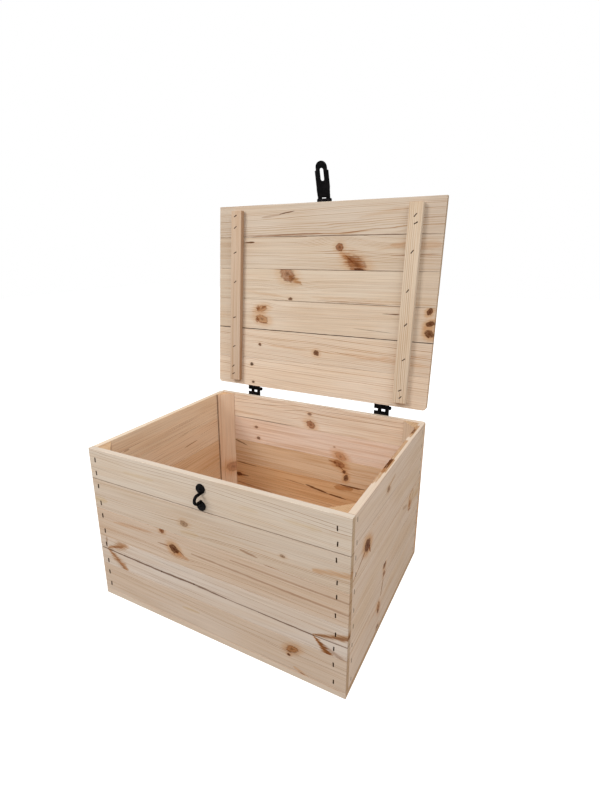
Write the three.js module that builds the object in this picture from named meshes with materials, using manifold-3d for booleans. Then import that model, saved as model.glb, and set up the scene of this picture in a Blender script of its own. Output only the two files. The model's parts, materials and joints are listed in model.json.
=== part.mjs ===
// Kindling box: a pine box of stacked boards on four corner posts, with a lid of six boards on two
// battens, a pair of rolled-knuckle hinges, and a slotted hasp that drops over an arched staple.
// Millimetres, +Z up, +X to the right. The front faces -Y, and the origin is the centre of the
// underside. The lid stands open and the hasp strap part way round, as in the photograph.

import * as THREE from "three";
import { mergeVertices } from "three/addons/utils/BufferGeometryUtils.js";
import Module from "manifold-3d";

const wasm = await Module();
wasm.setup();

// Box
const boxWidth = 500; // along X, over the ends of the front boards
const boxDepth = 412; // along Y, over the faces of the front and back walls
const boardThickness = 11;
const wallBoardHeight = 59;
const wallBoardCount = 5;
const baseBoardCount = 5;
const seam = 0.3; // gap between pieces that touch
const arris = 0.4; // chamfer on the edges of every board
const postLeg = 30; // each of the two short sides of a triangular corner post
const postTip = 1.2; // width of the blunted edges of a post
const postDrop = 1; // from the rim down to the top of a post
const backCornerRadius = 5; // rounded top corners of the back wall

// Lid
const lidBoardCount = 6;
const lidSetback = 5; // from the faces of the box back to the edges of the lid
const lidCornerRadius = 7; // rounded rear corners
const battenWidth = 26;
const battenThickness = 12;
const battenWallClearance = 5; // from a batten's end to the wall
const battenPostClearance = 1.5; // from a batten's corner to the post, along X
const lidOpenAngle = 94.7; // degrees from closed

// Hinges
const hingeInset = 93; // from the side of the box to the middle of a hinge
const hingeWidth = 32;
const hingeReach = 38; // from the pin's axis to the far edge of a leaf
const hingeKnuckles = 4; // shared in turn by the two leaves
const hingePinRadius = 2;
const boxLeafNotch = 7.9; // from the axis to the edge of a leaf beside the other leaf's knuckle
const lidLeafNotch = 4.9;
const hingeCornerRadius = 3;
const hingeScrewReach = 28; // from the axis to the screws
const hingeScrewSpread = 8; // from the middle of the hinge to a screw

// Sheet metal and pins
const sheet = 1.6; // thickness of leaves, plate and strap
const pinClearance = 0.3;
const knuckleGap = 0.3; // along the axis, between knuckles
const rollSlit = 0.35; // between the end of a rolled knuckle and its own leaf
const pinHeadLength = 3.8;

// Screws
const screwHeadRadius = 3.5;
const screwShankRadius = 1.7;
const screwHeadRise = 0.5; // domed top above the surface
const screwHoleClearance = 0.3;
const screwCover = 2; // wood left beyond a screw's tip
const screwPoint = 2.6; // length of the tip's cone
const recessArm = 1.9; // from the middle of the cross recess to the end of an arm
const recessWidth = 0.9;
const recessDepth = 1.2;

// Staple
const archRadius = 7.2; // to the middle of the bar
const archBar = 4; // the bar is square
const archRound = 0.6; // rounding of the bar's edges
const archStand = 9.5; // from the seat to the centre of the arch
const padRadius = 8.35;
const padThickness = 2.2;
const padRound = 0.7;
const padOverArch = 0.65; // how far a pad reaches past the middle of the arch's leg

// Hasp
const haspPinRadius = 1.7;
const haspAxisForward = 0.2; // from the front face out to the pin's axis
const haspEyeHalfWidth = 13.6; // at the pin
const haspHalfWidth = 14.7; // past the joggle
const haspKnuckleHalfWidth = 4.5; // middle knuckle, on the plate
const strapNotch = 4.7; // from the axis to the strap's edge beside the plate's knuckle
const plateNotch = 7.6; // from the axis to the plate's edge beside the strap's knuckles
const haspHeadRadius = 12.2;
const haspShoulder = 5.3; // from the centre of the round head back to the shoulders
const haspTip = 13.3; // from the slot to the tip
const haspShoulderRound = 1.4;
const joggleStart = 19; // from the axis
const joggleEnd = 25;
const joggleToPad = 0.25; // from the end of the joggle to the staple's upper pad
const strapOverScrew = 0.6;
const slotSideClearance = 2;
const slotEndClearance = 3;
const plateHalfWidth = 14;
const plateReach = 36;
const plateScrewReach = 24;
const plateScrewSpread = 8;
const plateCornerRadius = 4;
const haspTurnFromLatched = 67.1; // degrees

// Sizes that follow
const halfWidth = boxWidth / 2;
const halfDepth = boxDepth / 2;
const innerHalfWidth = halfWidth - boardThickness;
const innerHalfDepth = halfDepth - boardThickness;
const wallFoot = boardThickness + seam;
const courseStep = wallBoardHeight + seam;
const rim = wallFoot + wallBoardCount * courseStep - seam;
const lidUnderside = rim + seam;
const lidTop = lidUnderside + boardThickness;
const lidHalfDepth = halfDepth - lidSetback;
const hingeBarrel = hingePinRadius + pinClearance + sheet;
const hingeAxis = new THREE.Vector3(0, halfDepth + seam + hingeBarrel, lidTop + seam + hingeBarrel);
const haspBarrel = haspPinRadius + pinClearance + sheet;
const haspAxis = new THREE.Vector3(0, -halfDepth - haspAxisForward, lidTop + seam + haspBarrel);
const padCentre = archRadius + padRadius - padOverArch;
const slotCentre = joggleEnd + joggleToPad + padCentre + padRadius;
const slotWidth = archBar + 2 * slotSideClearance;
const slotLength = 2 * archRadius + archBar + 2 * slotEndClearance;
const stapleStack = seam + padThickness + screwHeadRise + strapOverScrew;
const joggleRise = stapleStack - (haspAxisForward + haspBarrel - sheet);
const screwBite = boardThickness - screwCover;
const degree = Math.PI / 180;

const pine = new THREE.MeshStandardMaterial({ color: 0xdcc6a6, roughness: 0.72, metalness: 0 });
const paleEdge = new THREE.MeshStandardMaterial({ color: 0xe2cfb2, roughness: 0.75, metalness: 0 });
const innerPine = new THREE.MeshStandardMaterial({ color: 0xc99f72, roughness: 0.74, metalness: 0 });
const blackSteel = new THREE.MeshStandardMaterial({ color: 0x17161a, roughness: 0.42, metalness: 0.6 });

// A shape's own x and y go to Y and Z, and its depth goes along X.
const acrossX = new THREE.Matrix4().makeBasis(
  new THREE.Vector3(0, 1, 0),
  new THREE.Vector3(0, 0, 1),
  new THREE.Vector3(1, 0, 0),
);

function solidOf(geometry) {
  const bare = geometry.clone();
  bare.deleteAttribute("normal");
  bare.deleteAttribute("uv");
  const merged = mergeVertices(bare);
  return new wasm.Manifold(
    new wasm.Mesh({
      numProp: 3,
      vertProperties: merged.attributes.position.array,
      triVerts: new Uint32Array(merged.index.array),
    }),
  );
}

function geometryOf(solid) {
  const { vertProperties, triVerts } = solid.getMesh();
  const shared = new THREE.BufferGeometry();
  shared.setAttribute("position", new THREE.BufferAttribute(vertProperties, 3));
  shared.setIndex(new THREE.BufferAttribute(triVerts, 1));
  const faceted = shared.toNonIndexed();
  faceted.computeVertexNormals();
  return faceted;
}

function addMesh(parent, name, geometry, material) {
  const mesh = new THREE.Mesh(geometry, material);
  mesh.name = name;
  parent.add(mesh);
  return mesh;
}

// A solid of revolution about Z. The profile lists [radius, height] from the bottom up.
function turned(profile, segments) {
  const points = profile.map(([radius, height]) => new THREE.Vector2(radius, height));
  return new THREE.LatheGeometry(points, segments).rotateX(Math.PI / 2);
}

// A board with chamfered edges: length along X, width along Y, thickness along Z, centred.
// The two corners on its +Y side may be rounded.
function boardGeometry(length, width, thickness, cornerRadius = arris) {
  const x = length / 2 - arris;
  const y = width / 2 - arris;
  const r = Math.max(cornerRadius - arris, 0);
  const outline = new THREE.Shape();
  outline.moveTo(-x, -y);
  outline.lineTo(x, -y);
  if (r > 0) {
    outline.absarc(x - r, y - r, r, 0, Math.PI / 2);
    outline.absarc(-x + r, y - r, r, Math.PI / 2, Math.PI);
  } else {
    outline.lineTo(x, y);
    outline.lineTo(-x, y);
  }
  const extruded = new THREE.ExtrudeGeometry(outline, {
    depth: thickness - 2 * arris,
    bevelThickness: arris,
    bevelSize: arris,
    bevelSegments: 1,
    curveSegments: 6,
  });
  return extruded.translate(0, 0, arris - thickness / 2);
}

function addBase(parent) {
  const width = (boxDepth - (baseBoardCount - 1) * seam) / baseBoardCount;
  for (let i = 0; i < baseBoardCount; i++) {
    const board = addMesh(
      parent,
      `base_board_${i + 1}`,
      boardGeometry(boxWidth, width, boardThickness),
      pine,
    );
    board.position.set(0, -halfDepth + width / 2 + i * (width + seam), boardThickness / 2);
  }
}

// Boards are numbered from the bottom up. The side walls fit between the front and back walls.
function addWalls(parent) {
  const sideLength = 2 * (innerHalfDepth - seam);
  const y = halfDepth - boardThickness / 2;
  const x = halfWidth - boardThickness / 2;
  for (let i = 0; i < wallBoardCount; i++) {
    const z = wallFoot + i * courseStep + wallBoardHeight / 2;
    const isTop = i === wallBoardCount - 1;
    for (const [side, sign] of [["front", -1], ["back", 1]]) {
      const corner = isTop && side === "back" ? backCornerRadius : arris;
      const geometry = boardGeometry(boxWidth, wallBoardHeight, boardThickness, corner);
      const board = addMesh(parent, `${side}_board_${i + 1}`, geometry, pine);
      board.rotation.x = Math.PI / 2;
      board.position.set(0, sign * y, z);
    }
    for (const [side, sign] of [["left", -1], ["right", 1]]) {
      const geometry = boardGeometry(sideLength, wallBoardHeight, boardThickness);
      const board = addMesh(parent, `${side}_board_${i + 1}`, geometry, pine);
      board.rotation.set(Math.PI / 2, 0, Math.PI / 2, "ZYX");
      board.position.set(sign * x, 0, z);
    }
  }
}

function addCornerPosts(parent) {
  const outline = new THREE.Shape();
  outline.moveTo(0, 0);
  outline.lineTo(postLeg, 0);
  outline.lineTo(postLeg, postTip);
  outline.lineTo(postTip, postLeg);
  outline.lineTo(0, postLeg);
  const height = rim - postDrop - wallFoot;
  const corners = [
    ["front_left", -1, -1],
    ["front_right", 1, -1],
    ["rear_right", 1, 1],
    ["rear_left", -1, 1],
  ];
  corners.forEach(([corner, signX, signY], quarterTurns) => {
    const geometry = new THREE.ExtrudeGeometry(outline, { depth: height, bevelEnabled: false });
    const post = addMesh(parent, `corner_post_${corner}`, geometry, innerPine);
    post.rotation.z = (quarterTurns * Math.PI) / 2;
    post.position.set(signX * (innerHalfWidth - seam), signY * (innerHalfDepth - seam), wallFoot);
  });
}

// Boards are numbered from the hinges to the front edge.
function addLidBoards(parent) {
  const width = (2 * lidHalfDepth - (lidBoardCount - 1) * seam) / lidBoardCount;
  for (let i = 0; i < lidBoardCount; i++) {
    const corner = i === 0 ? lidCornerRadius : arris;
    const geometry = boardGeometry(boxWidth, width, boardThickness, corner);
    const board = addMesh(parent, `lid_board_${i + 1}`, geometry, pine);
    board.position.set(
      0,
      lidHalfDepth - width / 2 - i * (width + seam),
      lidUnderside + boardThickness / 2,
    );
  }
}

// The battens clear the walls and the posts when the lid is shut.
function addBattens(parent) {
  const halfLength = innerHalfDepth - battenWallClearance;
  const postFace = innerHalfWidth + innerHalfDepth - 2 * seam - postLeg - postTip;
  const outerEdge = postFace - halfLength - battenPostClearance;
  for (const [side, sign] of [["left", -1], ["right", 1]]) {
    const geometry = boardGeometry(2 * halfLength, battenWidth, battenThickness);
    const batten = addMesh(parent, `lid_batten_${side}`, geometry, paleEdge);
    batten.rotation.z = Math.PI / 2;
    batten.position.set(
      sign * (outerEdge - battenWidth / 2),
      0,
      lidUnderside - seam - battenThickness / 2,
    );
  }
}

// A strip of sheet rolled round a pin at one end. It lies along X at the pin's axis, runs out
// along +Y, and its outer face is the barrel's radius away on the +Z side. It may step outwards.
function rolledStrip(halfWidth, barrel, reach, step) {
  const bore = barrel - sheet;
  const lip = Math.asin((bore - rollSlit) / barrel);
  const full = 2 * Math.PI;
  const profile = new THREE.Shape();
  profile.moveTo(reach, barrel + step.rise);
  profile.lineTo(step.end, barrel + step.rise);
  profile.lineTo(step.start, barrel);
  profile.lineTo(0, barrel);
  profile.absarc(0, 0, barrel, Math.PI / 2, full + lip, false);
  profile.absarc(0, 0, bore, full + lip, Math.PI / 2, true);
  profile.lineTo(step.start, bore);
  profile.lineTo(step.end, bore + step.rise);
  profile.lineTo(reach, bore + step.rise);
  const strip = new THREE.ExtrudeGeometry(profile, {
    depth: 2 * halfWidth,
    bevelEnabled: false,
    curveSegments: 18,
  });
  return strip.translate(0, 0, -halfWidth).applyMatrix4(acrossX);
}

// What an outline in the X and Y plane leaves of a strip.
function trimmed(strip, outline, thickness) {
  const cutter = new THREE.ExtrudeGeometry(outline, {
    depth: 2 * thickness,
    bevelEnabled: false,
    curveSegments: 10,
  });
  return strip.intersect(solidOf(cutter.translate(0, 0, -thickness)));
}

// Cuts a strip back from its barrel to the notch line between two places along the pin.
function notched(strip, from, to, barrel, notch) {
  const margin = 1;
  const length = notch + barrel + margin;
  const box = new THREE.BoxGeometry(to - from, length, 4 * barrel);
  return strip.subtract(solidOf(box.translate((from + to) / 2, notch - length / 2, 0)));
}

function roundedPlateOutline(halfWidth, back, reach, radius) {
  const outline = new THREE.Shape();
  outline.moveTo(-halfWidth, -back);
  outline.lineTo(halfWidth, -back);
  outline.absarc(halfWidth - radius, reach - radius, radius, 0, Math.PI / 2);
  outline.absarc(radius - halfWidth, reach - radius, radius, Math.PI / 2, Math.PI);
  return outline;
}

// Every leaf has every other knuckle, and the ones on the box are turned round.
function hingeLeafGeometry(notch) {
  const flat = { start: hingeBarrel, end: 2 * hingeBarrel, rise: 0 };
  const half = hingeWidth / 2;
  const knuckle = hingeWidth / hingeKnuckles;
  let leaf = solidOf(rolledStrip(half, hingeBarrel, hingeReach, flat));
  const outline = roundedPlateOutline(half, 2 * hingeBarrel, hingeReach, hingeCornerRadius);
  leaf = trimmed(leaf, outline, 2 * hingeBarrel);
  for (let i = 1; i < hingeKnuckles; i += 2) {
    const from = -half + i * knuckle - knuckleGap / 2;
    const isLast = i === hingeKnuckles - 1;
    const to = isLast ? half + knuckleGap : from + knuckle + knuckleGap;
    leaf = notched(leaf, from, to, hingeBarrel, notch);
  }
  return geometryOf(leaf);
}

// A pin along X with a domed head at its +X end.
function pinGeometry(radius, barrel, halfLength) {
  const neck = halfLength + knuckleGap;
  const dome = pinHeadLength / 2;
  const profile = [
    [0, -halfLength],
    [radius - arris, -halfLength],
    [radius, -halfLength + arris],
    [radius, neck],
    [barrel, neck],
  ];
  const domeSteps = 4;
  for (let i = 0; i <= domeSteps; i++) {
    const angle = (i / domeSteps) * (Math.PI / 2);
    profile.push([barrel * Math.cos(angle), neck + dome + dome * Math.sin(angle)]);
  }
  profile[profile.length - 1][0] = 0;
  return turned(profile, 20).rotateY(Math.PI / 2);
}

// A countersunk screw along Z. The surface that it is sunk into is at 0, and the tip points down.
function screwGeometry(length) {
  const body = turned(
    [
      [0, -length],
      [screwShankRadius, screwPoint - length],
      [screwShankRadius, screwShankRadius - screwHeadRadius],
      [screwHeadRadius, 0],
      [0.85 * screwHeadRadius, 0.45 * screwHeadRise],
      [0.5 * screwHeadRadius, 0.85 * screwHeadRise],
      [0, screwHeadRise],
    ],
    16,
  );
  const arm = 2 * recessArm;
  const depth = 2 * recessDepth;
  const bar = new THREE.BoxGeometry(arm, recessWidth, depth).translate(0, 0, screwHeadRise);
  const crossBar = new THREE.BoxGeometry(recessWidth, arm, depth).translate(0, 0, screwHeadRise);
  return geometryOf(solidOf(body).subtract(solidOf(bar)).subtract(solidOf(crossBar)));
}

// The space that a screw is driven into, a clearance wider than the screw all the way.
function screwHoleGeometry(length) {
  const head = screwHeadRadius + screwHoleClearance;
  const shank = screwShankRadius + screwHoleClearance;
  const above = 2 * screwHeadRadius;
  return turned(
    [
      [0, -length - screwHoleClearance],
      [shank, -length - screwHoleClearance],
      [shank, screwShankRadius - screwHeadRadius],
      [head, 0],
      [head, above],
      [0, above],
    ],
    16,
  );
}

// Puts a screw through a plate of the given thickness and into the board under it, in the plate's
// group. The plate's open face is at height z, and its own +Z points into the wood.
function addScrew(parent, name, x, y, z, plate) {
  const length = plate + seam + screwBite;
  const screw = addMesh(parent, name, screwGeometry(length), blackSteel);
  screw.rotation.x = Math.PI;
  screw.position.set(x, y, z);
  screw.userData.length = length;
  return screw;
}

// Cuts the screws' holes in a mesh of the same body.
function drill(mesh, screws) {
  const toMesh = mesh.matrixWorld.clone().invert();
  let solid = solidOf(mesh.geometry);
  for (const screw of screws) {
    const hole = screwHoleGeometry(screw.userData.length);
    hole.applyMatrix4(screw.matrixWorld).applyMatrix4(toMesh);
    solid = solid.subtract(solidOf(hole));
  }
  mesh.geometry = geometryOf(solid);
}

// A leaf and its two screws, in a group whose X is the pin's axis.
function addHingeLeaf(parent, body, side, x, turn, notch) {
  const group = new THREE.Group();
  group.position.set(x, hingeAxis.y, hingeAxis.z);
  group.quaternion.setFromRotationMatrix(turn);
  parent.add(group);
  const leaf = addMesh(group, `hinge_${body}_leaf_${side}`, hingeLeafGeometry(notch), blackSteel);
  const face = hingeBarrel - sheet;
  const screws = [-1, 1].map((sign, i) =>
    addScrew(
      group,
      `hinge_${body}_screw_${side}_${i + 1}`,
      sign * hingeScrewSpread,
      hingeScrewReach,
      face,
      sheet,
    ),
  );
  return { leaf, screws };
}

// Down the back wall, with the leaf's outer face to the wall.
const downTheWall = new THREE.Matrix4().makeBasis(
  new THREE.Vector3(-1, 0, 0),
  new THREE.Vector3(0, 0, -1),
  new THREE.Vector3(0, -1, 0),
);
// Forwards over the lid, with the leaf's outer face to the lid.
const overTheLid = new THREE.Matrix4().makeBasis(
  new THREE.Vector3(1, 0, 0),
  new THREE.Vector3(0, -1, 0),
  new THREE.Vector3(0, 0, -1),
);

function strapOutline() {
  const slotEnd = slotCentre + slotLength / 2;
  const tip = slotEnd + haspTip;
  const headCentre = tip - haspHeadRadius;
  const shoulder = headCentre - haspShoulder;
  const round = haspShoulderRound;
  const outline = new THREE.Shape();
  outline.moveTo(-haspEyeHalfWidth, -2 * haspBarrel);
  outline.lineTo(haspEyeHalfWidth, -2 * haspBarrel);
  outline.lineTo(haspEyeHalfWidth, haspBarrel);
  outline.lineTo(haspHalfWidth, joggleEnd);
  outline.lineTo(haspHalfWidth, shoulder - round);
  outline.quadraticCurveTo(haspHalfWidth, shoulder, haspHalfWidth - round, shoulder);
  outline.lineTo(haspHeadRadius, shoulder);
  outline.absarc(0, headCentre, haspHeadRadius, 0, Math.PI);
  outline.lineTo(-haspHeadRadius, shoulder);
  outline.lineTo(round - haspHalfWidth, shoulder);
  outline.quadraticCurveTo(-haspHalfWidth, shoulder, -haspHalfWidth, shoulder - round);
  outline.lineTo(-haspHalfWidth, joggleEnd);
  outline.lineTo(-haspEyeHalfWidth, haspBarrel);
  const slot = new THREE.Path();
  const slotRadius = slotWidth / 2;
  const straight = slotLength / 2 - slotRadius;
  slot.absarc(0, slotCentre + straight, slotRadius, 0, Math.PI);
  slot.absarc(0, slotCentre - straight, slotRadius, Math.PI, 2 * Math.PI);
  outline.holes.push(slot);
  return outline;
}

// The strap has the two outer knuckles, and steps outwards over the staple's pads.
function haspStrapGeometry() {
  const reach = slotCentre + slotLength / 2 + haspTip;
  const step = { start: joggleStart, end: joggleEnd, rise: joggleRise };
  const half = haspHalfWidth;
  let strap = solidOf(rolledStrip(half, haspBarrel, reach + 1, step));
  strap = trimmed(strap, strapOutline(), 3 * haspBarrel);
  const gap = haspKnuckleHalfWidth + knuckleGap;
  return geometryOf(notched(strap, -gap, gap, haspBarrel, strapNotch));
}

function haspPlateGeometry() {
  const flat = { start: haspBarrel, end: 2 * haspBarrel, rise: 0 };
  let plate = solidOf(rolledStrip(plateHalfWidth, haspBarrel, plateReach, flat));
  const outline = roundedPlateOutline(
    plateHalfWidth,
    2 * haspBarrel,
    plateReach,
    plateCornerRadius,
  );
  plate = trimmed(plate, outline, 2 * haspBarrel);
  const outside = plateHalfWidth + knuckleGap;
  plate = notched(plate, -outside, -haspKnuckleHalfWidth, haspBarrel, plateNotch);
  plate = notched(plate, haspKnuckleHalfWidth, outside, haspBarrel, plateNotch);
  return geometryOf(plate);
}

// Two round pads joined by an arch. The seat is at 0, the arch stands out along +Z and its legs
// are apart along Y.
function stapleGeometry() {
  const outer = archRadius + archBar / 2 - archRound;
  const inner = archRadius - archBar / 2 + archRound;
  const profile = new THREE.Shape();
  profile.moveTo(outer, archRound);
  profile.lineTo(outer, archStand);
  profile.absarc(0, archStand, outer, 0, Math.PI);
  profile.lineTo(-outer, archRound);
  profile.lineTo(-inner, archRound);
  profile.absarc(0, archStand, inner, Math.PI, 0, true);
  profile.lineTo(inner, archRound);
  const depth = archBar - 2 * archRound;
  const arch = new THREE.ExtrudeGeometry(profile, {
    depth,
    bevelThickness: archRound,
    bevelSize: archRound,
    bevelSegments: 2,
    curveSegments: 14,
  });
  let staple = solidOf(arch.translate(0, 0, -depth / 2).applyMatrix4(acrossX));
  for (const sign of [-1, 1]) {
    const pad = turned(
      [
        [0, 0],
        [padRadius, 0],
        [padRadius, padThickness - padRound],
        [padRadius - 0.3 * padRound, padThickness - 0.3 * padRound],
        [padRadius - padRound, padThickness],
        [0, padThickness],
      ],
      28,
    );
    staple = staple.add(solidOf(pad.translate(0, sign * padCentre, 0)));
  }
  return geometryOf(staple);
}

function addStaple(parent) {
  const group = new THREE.Group();
  group.position.set(0, -halfDepth - seam, haspAxis.z - slotCentre);
  group.rotation.x = Math.PI / 2;
  parent.add(group);
  const staple = addMesh(group, "hasp_staple", stapleGeometry(), blackSteel);
  const screws = [["lower", -1], ["upper", 1]].map(([place, sign]) => {
    const screw = addScrew(
      group,
      `staple_screw_${place}`,
      0,
      sign * padCentre,
      padThickness,
      padThickness,
    );
    screw.rotation.x = 0;
    return screw;
  });
  return { staple, screws };
}

// The plate lies on the lid, with its outer face down.
function addHaspPlate(parent) {
  const group = new THREE.Group();
  group.position.copy(haspAxis);
  group.rotation.y = Math.PI;
  parent.add(group);
  const plate = addMesh(group, "hasp_plate", haspPlateGeometry(), blackSteel);
  const pin = pinGeometry(haspPinRadius, haspBarrel, haspEyeHalfWidth);
  const pinMesh = addMesh(group, "hasp_pin", pin, blackSteel);
  pinMesh.rotation.z = Math.PI;
  const screws = [["right", -1], ["left", 1]].map(([side, sign]) =>
    addScrew(
      group,
      `hasp_plate_screw_${side}`,
      sign * plateScrewSpread,
      plateScrewReach,
      haspBarrel - sheet,
      sheet,
    ),
  );
  return { plate, screws };
}

const kindlingBox = new THREE.Group();
addBase(kindlingBox);
addWalls(kindlingBox);
addCornerPosts(kindlingBox);
const staple = addStaple(kindlingBox);

// The lid's pieces are placed for the shut lid, in a group that turns about the hinge pins.
const lidTurn = new THREE.Group();
lidTurn.position.copy(hingeAxis);
lidTurn.rotation.x = -lidOpenAngle * degree;
kindlingBox.add(lidTurn);
const lid = new THREE.Group();
lid.position.copy(hingeAxis).negate();
lidTurn.add(lid);
addLidBoards(lid);
addBattens(lid);
const haspPlate = addHaspPlate(lid);

// The strap is made latched, hanging straight down, and turns about the hasp pin.
const haspTurn = new THREE.Group();
haspTurn.position.copy(haspAxis);
haspTurn.rotation.x = -haspTurnFromLatched * degree;
lid.add(haspTurn);
const strap = addMesh(haspTurn, "hasp_strap", haspStrapGeometry(), blackSteel);
strap.quaternion.setFromRotationMatrix(downTheWall);

const boxLeaves = [];
const lidLeaves = [];
for (const [side, sign] of [["left", -1], ["right", 1]]) {
  const x = sign * (halfWidth - hingeInset);
  boxLeaves.push(addHingeLeaf(kindlingBox, "box", side, x, downTheWall, boxLeafNotch));
  lidLeaves.push(addHingeLeaf(lid, "lid", side, x, overTheLid, lidLeafNotch));
  const pin = pinGeometry(hingePinRadius, hingeBarrel, hingeWidth / 2);
  const pinMesh = addMesh(kindlingBox, `hinge_pin_${side}`, pin, blackSteel);
  pinMesh.position.set(x, hingeAxis.y, hingeAxis.z);
}

// Screw holes, in the metal and in the boards behind it.
kindlingBox.updateMatrixWorld(true);
for (const { leaf, screws } of [...boxLeaves, ...lidLeaves]) {
  drill(leaf, screws);
}
drill(haspPlate.plate, haspPlate.screws);
drill(staple.staple, staple.screws);
const screwsOf = (leaves) => leaves.flatMap(({ screws }) => screws);
const named = (name) => kindlingBox.getObjectByName(name);
drill(named(`front_board_${wallBoardCount}`), staple.screws);
drill(named(`back_board_${wallBoardCount}`), screwsOf(boxLeaves));
drill(named("lid_board_1"), screwsOf(lidLeaves));
drill(named(`lid_board_${lidBoardCount}`), haspPlate.screws);

export default kindlingBox;
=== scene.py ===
import json
import math

import bmesh
import bpy
import numpy as np
from mathutils import Matrix, Vector


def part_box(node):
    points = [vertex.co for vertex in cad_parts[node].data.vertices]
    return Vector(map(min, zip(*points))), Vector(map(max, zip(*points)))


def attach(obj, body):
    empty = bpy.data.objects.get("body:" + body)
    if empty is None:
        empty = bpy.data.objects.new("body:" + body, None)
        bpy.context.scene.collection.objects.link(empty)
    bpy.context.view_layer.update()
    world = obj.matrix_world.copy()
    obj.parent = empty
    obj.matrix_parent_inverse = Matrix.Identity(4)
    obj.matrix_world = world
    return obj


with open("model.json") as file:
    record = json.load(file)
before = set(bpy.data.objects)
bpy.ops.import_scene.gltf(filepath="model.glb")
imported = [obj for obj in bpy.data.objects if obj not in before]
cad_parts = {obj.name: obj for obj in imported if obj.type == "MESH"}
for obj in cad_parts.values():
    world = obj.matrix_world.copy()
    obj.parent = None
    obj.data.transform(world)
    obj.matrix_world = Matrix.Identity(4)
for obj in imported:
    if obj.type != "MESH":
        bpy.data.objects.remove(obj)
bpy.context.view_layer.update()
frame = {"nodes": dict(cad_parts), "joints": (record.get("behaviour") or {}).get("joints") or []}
nodes = frame["nodes"]
joints = {joint["name"]: joint for joint in frame["joints"]}
print("frame loaded,", len(nodes), "nodes")

mm = 0.001


def addObject(name, data):
    made = bpy.data.objects.new(name, data)
    bpy.context.scene.collection.objects.link(made)
    return made


# The camera stands to the right of the front and looks back over the open box.
cameraView = {
    "place": (0.4368, -0.7342, 0.6479),
    "azimuth": 28.99,
    "down": 17.33,
    "roll": -0.5,
    "lens": 21.68,
    "sensor": 36,
    "shift": (0.024, -0.004),
    "clip": (0.01, 60),
}


def makeCamera(view):
    data = bpy.data.cameras.new("studio_camera")
    data.lens = view["lens"]
    data.sensor_width = view["sensor"]
    data.shift_x, data.shift_y = view["shift"]
    data.clip_start, data.clip_end = view["clip"]
    camera = addObject("studio_camera", data)
    turn, down = math.radians(view["azimuth"]), math.radians(view["down"])
    ahead = Vector((-math.sin(turn) * math.cos(down), math.cos(turn) * math.cos(down), -math.sin(down)))
    aim = ahead.to_track_quat("-Z", "Y").to_matrix()
    roll = Matrix.Rotation(math.radians(view["roll"]), 3, "Z")
    camera.matrix_world = Matrix.Translation(view["place"]) @ (aim @ roll).to_4x4()
    bpy.context.scene.camera = camera


makeCamera(cameraView)
print("camera made")


# Small helpers for node trees.
def addNode(tree, kind, inputs=None, **settings):
    made = tree.nodes.new(kind)
    for name, value in settings.items():
        setattr(made, name, value)
    for name, value in (inputs or {}).items():
        socket = made.inputs[name]
        if isinstance(value, bpy.types.NodeSocket):
            tree.links.new(value, socket)
        else:
            socket.default_value = value
    return made


def linkAll(tree, sockets, values):
    for name, value in values.items():
        tree.links.new(value, sockets[name])


def maths(tree, operation, a, b=0.0, c=0.0, clamp=False):
    made = addNode(tree, "ShaderNodeMath", {0: a, 1: b, 2: c}, operation=operation, use_clamp=clamp)
    return made.outputs[0]


def times(tree, product, *factors):
    for factor in factors:
        product = maths(tree, "MULTIPLY", product, factor)
    return product


def addTimes(tree, start, value, factor, clamp=False):  # start plus value times factor
    return maths(tree, "MULTIPLY_ADD", value, factor, start, clamp)


def plus(tree, a, b):
    return maths(tree, "ADD", a, b)


def minus(tree, a, b):
    return maths(tree, "SUBTRACT", a, b)


def vectorMaths(tree, operation, a, b=(0, 0, 0), output=0):
    made = addNode(tree, "ShaderNodeVectorMath", {0: a, 1: b}, operation=operation)
    return made.outputs[output]


def scaled(tree, place, scale):
    return vectorMaths(tree, "MULTIPLY", place, scale)


def lengthOf(tree, vector):
    return vectorMaths(tree, "LENGTH", vector, output=1)


def dot(tree, a, b):
    return vectorMaths(tree, "DOT_PRODUCT", a, b, output=1)


def partsOf(tree, vector):
    return addNode(tree, "ShaderNodeSeparateXYZ", {0: vector}).outputs


def smoothRange(tree, value, low, high, toLow=0.0, toHigh=1.0):
    ends = {"Value": value, "From Min": low, "From Max": high, "To Min": toLow, "To Max": toHigh}
    return addNode(tree, "ShaderNodeMapRange", ends, interpolation_type="SMOOTHSTEP").outputs[0]


def fading(tree, value, low, high):  # 1 up to low, 0 from high on
    return smoothRange(tree, value, low, high, 1.0, 0.0)


def mixColour(tree, share, a, b, how="MIX"):
    made = addNode(tree, "ShaderNodeMix", {0: share, 6: a, 7: b}, data_type="RGBA", blend_type=how)
    return made.outputs[2]


def tinted(tree, colour, tint):
    return mixColour(tree, 1.0, colour, tint, "MULTIPLY")


def noise(tree, place, detail=1.0, roughness=0.5):
    ends = {"Vector": place, "Scale": 1.0, "Detail": detail, "Roughness": roughness}
    return addNode(tree, "ShaderNodeTexNoise", ends).outputs["Fac"]


def linear(red, green, blue):
    # The colour as it looks on a screen, 0 to 255, made linear for the shaders.
    def channel(value):
        share = value / 255
        return share / 12.92 if share <= 0.04045 else ((share + 0.055) / 1.055) ** 2.4
    return (channel(red), channel(green), channel(blue), 1.0)


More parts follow.
